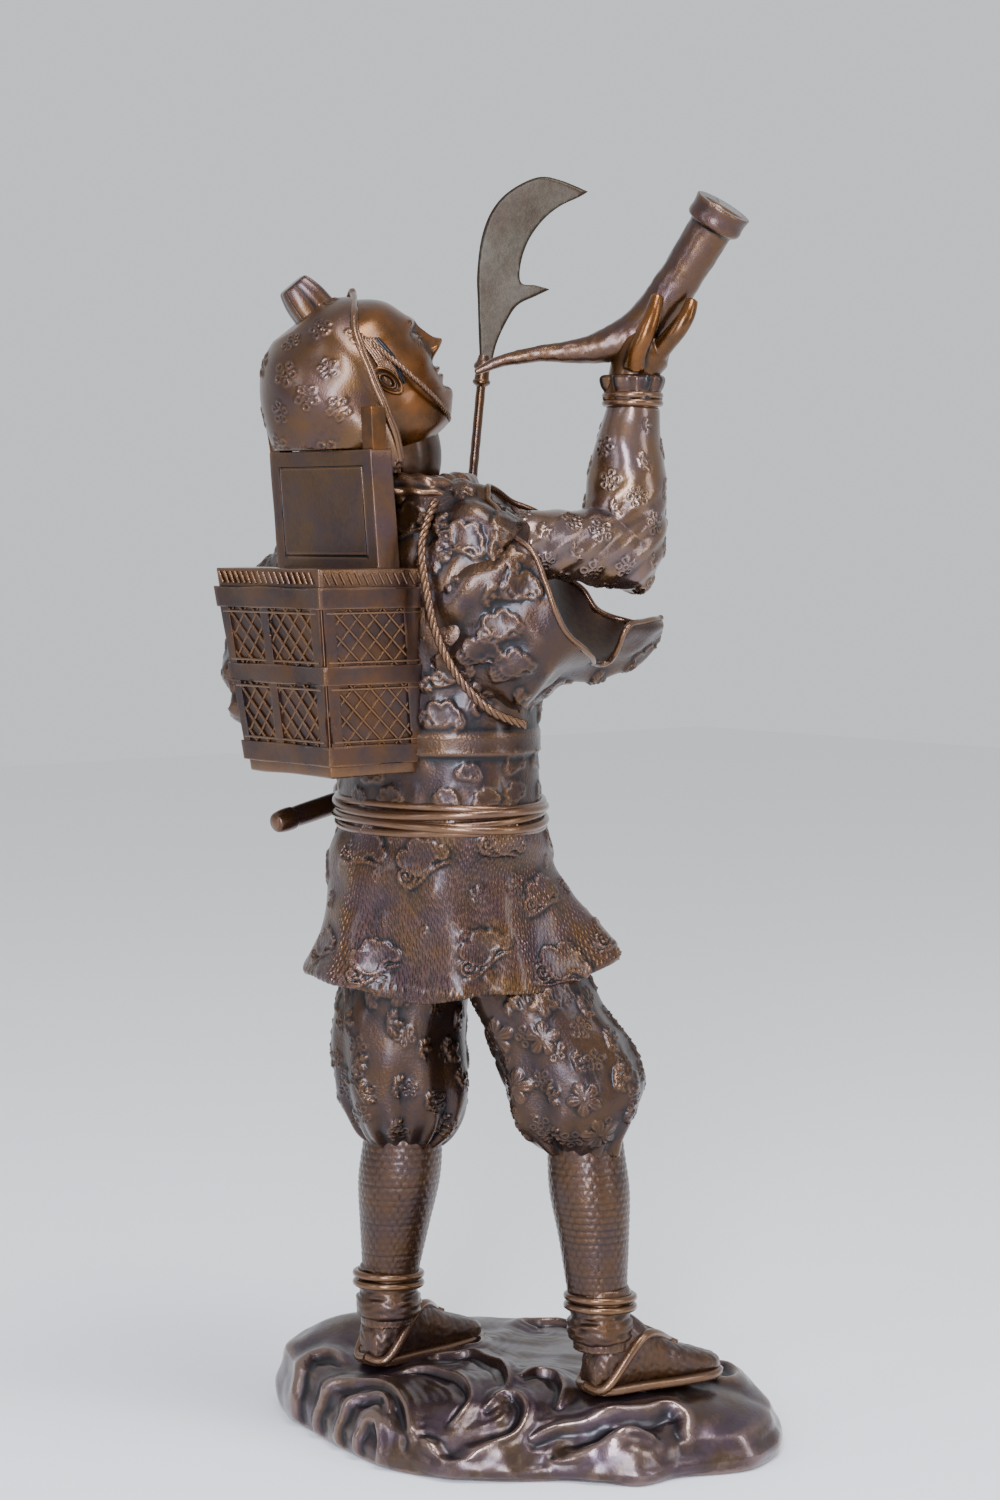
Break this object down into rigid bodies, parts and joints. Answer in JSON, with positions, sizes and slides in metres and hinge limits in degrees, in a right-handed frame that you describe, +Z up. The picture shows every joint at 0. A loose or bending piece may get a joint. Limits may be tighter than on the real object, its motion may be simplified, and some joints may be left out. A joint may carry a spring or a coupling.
{
  "type": "bronze samurai statue",
  "caption": "Bronze figure of a travelling samurai looking up, with a back-chest, a short sword, a tall glaive and a raised horn, standing on a base of curling waves.",
  "frame": {"origin": "under the middle of the work's box, at the underside of the base", "axes": "+Z up, the figure's chest faces -Y and its left side is towards +X"},
  "size_m": [0.2566, 0.2646, 0.647],
  "materials": {
    "brown_bronze": "brown patina, satin",
    "golden_bronze": "brown patina rubbed to gold on the high places",
    "olive_bronze": "greyish olive patina, brushed",
    "steel": "plain zinc"
  },
  "bodies": {
    "root": {"base": "brown_bronze", "figure": "brown_bronze", "right_arm": "brown_bronze", "horn": "golden_bronze", "head": "golden_bronze", "backpack": "brown_bronze", "naginata": "olive_bronze", "sword": "brown_bronze", "left_washer": "steel", "left_bolt": "steel", "right_washer": "steel", "right_bolt": "steel"}
  },
  "joints": []
}
